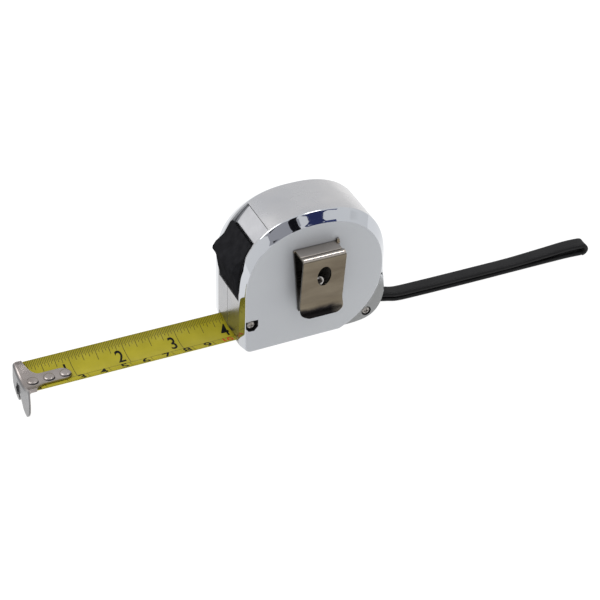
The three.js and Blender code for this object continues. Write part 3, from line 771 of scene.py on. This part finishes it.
def clip_shelf():
    """The plate's top edge, bent out into a shelf, with the ear that stands up at its end; its upward faces
    are painted bright as light.
    """
    middle, half, sheet_mm, head, face = (CLIP[key] for key in ("middle", "half", "sheet", "head", "face"))
    outline = [(middle + half + 0.8, head - sheet_mm), (middle + half + 0.8, head),
               (middle - half - 0.8, head), (middle - half - 0.8, head - sheet_mm)]
    base = slab_y("clip_shelf", outline, face - sheet_mm, face, "clip_nickel")
    right = middle + half - 0.6
    shelf_corner = (middle - half, face - CLIP["shelf"], head - sheet_mm)
    join(base, box("shelf", shelf_corner, (right, face - 0.03, head + 0.02)),
         box("ear", (right, face - sheet_mm + 0.02, 49), (middle + half + 0.6, face - 0.02, head + 1.3)))
    soften(base, 0.22)
    finish_piece(smooth(base), "case", "nickel_sheet")


def clip_leaf():
    """The spring leaf that hangs from the shelf's front edge and turns out at its foot."""
    middle, half, sheet_mm, head = (CLIP[key] for key in ("middle", "half", "sheet", "head"))
    edge = CLIP["face"] - CLIP["shelf"]
    path = spline([(edge - 0.2, head - 0.6), (edge - 1.1, head - 0.4), (edge - 1.9, head - 0.5),
                   (edge - 2.5, head - 1.0), (edge - 2.75, head - 1.9), (edge - 2.5, 46), (edge - 1.5, 37),
                   (edge - 0.6, 28), (edge - 0.3, 25.6), (edge - 0.6, 23.2), (edge - 1.5, 20.5),
                   (edge - 2.7, 18.2)], 10)
    rows = []
    columns = 24
    for i, at in enumerate(path):
        before, after = path[max(i - 1, 0)], path[min(i + 1, len(path) - 1)]
        along = (after - before).normalized()
        out = Vector((-along.y, along.x)) * sheet_mm / 2
        drop = min(max((21.6 - at.y) / 3.6, 0.0), 1.0)
        width = half - 4.4 * drop ** 3.2
        rows.append([(middle - width + 2 * width * k / columns, at.x + out.x, at.y + out.y)
                     for k in range(columns + 1)])
    leaf = sheet("clip_spring", rows, sheet_mm, "clip_nickel")
    cut(leaf, slab_y("oval", oval((-0.9, 39.6), 3.4, 5.5, 2, 0, 2 * math.pi, 48)[1:], -30, -21.5))
    soften(leaf, 0.18, 2, 55)
    finish_piece(smooth(leaf, 35), "clip", "nickel_sheet", "clip_leaf")


# ---- screws ---------------------------------------------------------------------------------------------
def screw(name, node, centre, face, radius, shank_end, material="steel"):
    """A pan head with a cross recess; face is the y of the seat under its head."""
    profile = [(0.05, -1.2), (0.35 * radius, -1.17), (0.7 * radius, -1.0), (0.9 * radius, -0.75),
               (radius, -0.4), (radius, 0.0), (radius * 0.5, 0.0), (radius * 0.5, shank_end - face)]
    rings = [[(x, face + h, z) for x, z in circle(centre, r, 40)] for r, h in profile]
    made = loft(name, rings, material)
    arm, (x, z) = radius * 0.56, centre
    cut(made, box("slot_a", (x - arm, face - 2, z - 0.27), (x + arm, face - 0.5, z + 0.27)),
        box("slot_b", (x - 0.27, face - 2.1, z - arm), (x + 0.27, face - 0.55, z + arm)))
    finish_piece(smooth(made), "case", "screw_steel", node)


def screws():
    """The three screws, and the black linings painted as shade in the recesses that the case screws sit in.
    """
    front, rear, radius = SCREW["front"], SCREW["rear"], SCREW["radius"]
    # Painted shade: black linings in the screw recesses.
    recess_shade = join(slab_y("screw_recess_shade", pocket_corners(0.02), -17.2, -15.65, "shade_black"),
                 rod_y("well_rear", 2.42, rear, -15.5, -14.25))
    cut(recess_shade, slab_y("well_hole", pocket_corners(0.35), -18, -15.8),
        rod_y("well_bore", 2.25, rear, -16, -14.4))
    finish_piece(smooth(recess_shade), "case", "inner_plastic")
    screw("front_screw", "case_screw_front", front, -15.75, radius, 12)
    screw("rear_screw", "case_screw_rear", rear, -14.4, radius, 12)
    seat = CLIP["face"] - CLIP["sheet"] - 0.05
    # Painted light: the belt clip's screw gets the brighter copy of the screw steel.
    screw("belt_clip_screw", "clip_screw", (0, SPOOL_Z), seat, SCREW["clip_radius"], -10.4, "painted_light_steel")


# ---- wrist strap ----------------------------------------------------------------------------------------
STRAP_PLAN = [(34.2, -5.0), (37.4, -5.4), (41.0, -6.4), (46.0, -7.7), (56.8, -9.0), (71.0, -10.5),
              (87.2, -12.1), (103.7, -13.6), (120.7, -15.2), (131.5, -16.3), (138.6, -17.4)]


def strap_height(x):
    """The height of the lower run's middle, on the tilted floor and a little higher at the case."""
    on_floor = STRAP["rise"] * (x - STRAP["rest_x"]) + STRAP["lift"] + STRAP["thick"] / 2
    return on_floor + 1.1 * ease((48 - x) / 12)


def strap_pitch(x):
    """How far the upper run lies above the lower; it opens toward the fold."""
    return STRAP["pitch"] + (STRAP["loop"] - STRAP["pitch"]) * ease((x - 105) / 30)


def strap_route():
    """The strap's middle line: out on top, round the fold at the far end and back underneath."""
    out = [(x, y, strap_height(x) + strap_pitch(x)) for x, y in STRAP_PLAN]
    back = [(x, y, strap_height(x)) for x, y in reversed(STRAP_PLAN)]
    x, y, z = back[0]
    radius = STRAP["loop"] / 2
    fold = [(x + radius * 1.2 * math.cos(t), y - 0.4, z + radius - radius * math.sin(t))
            for t in (math.radians(a) for a in (-50, 0, 50))]
    return [*out, *fold, *back]


def strap():
    """The wrist strap, a flat band with rounded edges along its route."""
    path = spline(strap_route(), 10)
    section = []
    for turn in range(28):
        t = 2 * math.pi * turn / 28
        u = math.copysign(abs(math.cos(t)) ** 0.42, math.cos(t))
        v = math.copysign(abs(math.sin(t)) ** 0.6, math.sin(t))
        section.append((u * STRAP["width"] / 2, v * STRAP["thick"] / 2 * (1 - 0.1 * math.cos(u * 3) ** 4)))
    rings = []
    for i, at in enumerate(path):
        along = (path[min(i + 1, len(path) - 1)] - path[max(i - 1, 0)]).normalized()
        across = (Vector((0, 1, 0)) - along * along.y).normalized()
        normal = along.cross(across)
        rings.append([at + across * u + normal * v for u, v in section])
    made = smooth(loft("strap_loop", rings, "vinyl"), 50)
    finish_piece(made, "case", "strap_vinyl", "wrist_strap")


# ---- parts that stay as they are ------------------------------------------------------------------------
def inner_parts():
    """Gives the nodes inside the case their materials."""
    finishes = {
        "lock_foot": "inner", "brake_pad": "pad", "lock_detent_spring": "spring", "spool_drum": "inner",
        "spool_cover": "inner", "blade_coil": "paint", "mainspring": "spring", "spool_post": "steel",
        "post_rivet": "steel", "thrust_washer": "steel", "blade_lead": "paint", "strap_anchor_pin": "steel",
    }
    for node, finish in finishes.items():
        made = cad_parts[node]
        made.data.materials.clear()
        made.data.materials.append(MATERIALS[finish])


# ---- studio ---------------------------------------------------------------------------------------------
def plane(name, centre, across, up, color, strength, diffuse=0.0):
    """A flat card from its middle and its two half sides, all in metres."""
    corners = [Vector(centre) + Vector(across) * a + Vector(up) * b
               for a, b in ((-1, -1), (1, -1), (1, 1), (-1, 1))]
    made = piece(name, [c / MM for c in corners], [[0, 1, 2, 3]])
    g = Graph(name, (diffuse,) * 3, 0.9)
    g.set("Specular IOR Level", 0.1)
    g.set("Emission Color", (*color, 1.0))
    g.set("Emission Strength", strength)
    made.data.materials.append(g.material)
    return made


def card(name, direction, width, height, color, strength, distance=1.6, tilt=0.0):
    """A card that faces the case from a direction, out of the camera's sight."""
    toward = Vector(direction).normalized()
    side = toward.cross(Vector((0, 0, 1))).normalized()
    up = side.cross(toward)
    turned = side * math.cos(tilt) + up * math.sin(tilt)
    other = up * math.cos(tilt) - side * math.sin(tilt)
    centre = toward * distance + Vector((0, 0, 0.06))
    made = plane(name, centre, turned * width / 2, other * height / 2, color, strength)
    made.visible_camera = False
    made.visible_shadow = False
    made.visible_diffuse = False


def floor():
    """A glowing white floor at the tilt that the tape rests at, through its claw tips and rear corner."""
    slope = math.atan(STRAP["rise"])
    middle = (0.0, 0.0, -STRAP["rise"] * STRAP["rest_x"] * MM)
    reach = 4.0
    along = (reach * math.cos(slope), 0, reach * math.sin(slope))
    plane("floor", middle, along, (0, reach, 0), (1, 1, 1), 0.98, 0.1)


def cards():
    """The dark, blue and bright shapes that the chrome bevel reflects."""
    card("grey_wide", (-0.30, -0.33, 0.87), 1.7, 1.0, (0.42, 0.42, 0.45), 1.0, distance=1.9)
    card("flag_left", (-0.44, -0.30, 0.84), 0.18, 0.32, (0.01, 0.01, 0.015), 1.0, tilt=0.4)
    card("flag_middle", (0.05, -0.33, 0.94), 0.26, 0.6, (0.005, 0.005, 0.008), 1.0, tilt=0.3)
    card("flag_right", (0.36, -0.30, 0.88), 0.42, 0.42, (0.03, 0.04, 0.13), 1.0)
    card("flag_far", (0.55, -0.30, 0.79), 0.13, 0.34, (0.05, 0.07, 0.2), 1.0, tilt=-0.3)
    card("strip_light", (0.34, 0.08, 0.94), 0.5, 0.22, (1.0, 1.0, 1.0), 7.0, distance=1.7)
    card("spark_one", (0.27, -0.285, 0.91), 0.09, 0.11, (0.9, 0.93, 1.0), 1.2, distance=1.5, tilt=0.5)
    card("spark_two", (0.44, -0.27, 0.86), 0.1, 0.1, (0.9, 0.93, 1.0), 1.2, distance=1.5)


def sky():
    """A white room that is darker low down on the near side."""
    world = bpy.data.worlds.new("studio")
    bpy.context.scene.world = world
    world.use_nodes = True
    tree = world.node_tree
    shade = tree.nodes["Background"]

    def node(kind, inputs, **settings):
        made = tree.nodes.new(kind)
        for key, value in settings.items():
            setattr(made, key, value)
        for key, value in inputs.items():
            if isinstance(value, bpy.types.NodeSocket):
                tree.links.new(value, made.inputs[key])
            else:
                made.inputs[key].default_value = value
        return made.outputs[0]

    where = tree.nodes.new("ShaderNodeTexCoord").outputs["Generated"]
    split = tree.nodes.new("ShaderNodeSeparateXYZ")
    tree.links.new(where, split.inputs[0])
    high = node("ShaderNodeMapRange", {"Value": split.outputs["Z"], "From Min": 0.22, "From Max": 0.5})
    behind = node("ShaderNodeMapRange", {"Value": split.outputs["Y"], "From Min": -0.75, "From Max": -0.25})
    lit = node("ShaderNodeMath", {0: high, 1: behind}, operation="MAXIMUM")
    level = node("ShaderNodeMapRange", {"Value": lit, "To Min": 0.16, "To Max": 0.92})
    shade.inputs["Color"].default_value = (0.985, 0.99, 1.0, 1.0)
    tree.links.new(level, shade.inputs["Strength"])


def softbox():
    """A large soft lamp above the front."""
    lamp = bpy.data.lights.new("softbox", "AREA")
    lamp.shape = "DISK"
    lamp.size = 1.2
    lamp.energy = 9.0
    made = bpy.data.objects.new("softbox", lamp)
    made.location = (-0.9, 0.5, 1.5)
    made.rotation_euler = (-made.location).to_track_quat("-Z", "Y").to_euler()
    bpy.context.scene.collection.objects.link(made)


def camera():
    """The view from the front left and above, with a small roll."""
    azimuth, elevation, roll = (math.radians(a) for a in (-25.283, 36.593, 1.631))
    right = Vector((math.cos(azimuth), math.sin(azimuth), 0))
    level = math.cos(elevation)
    back = Vector((math.sin(azimuth) * level, -math.cos(azimuth) * level, math.sin(elevation)))
    up = back.cross(right)
    across = right * math.cos(roll) + up * math.sin(roll)
    upward = up * math.cos(roll) - right * math.sin(roll)
    lens = bpy.data.cameras.new("camera")
    lens.lens = 117.68
    lens.sensor_width = 36.0
    lens.clip_start = 0.01
    made = bpy.data.objects.new("camera", lens)
    place = Matrix((across, upward, back)).transposed().to_4x4()
    place.translation = Vector((-0.31141, -0.65921, 0.54929))
    made.matrix_world = place
    bpy.context.scene.collection.objects.link(made)
    bpy.context.scene.camera = made
    bpy.context.scene.view_settings.view_transform = "Standard"


camera()
strap()
case_halves()
lock()
blade()
numbers()
hook()
clip_back()
clip_shelf()
clip_leaf()
screws()
inner_parts()
floor()
cards()
sky()
softbox()
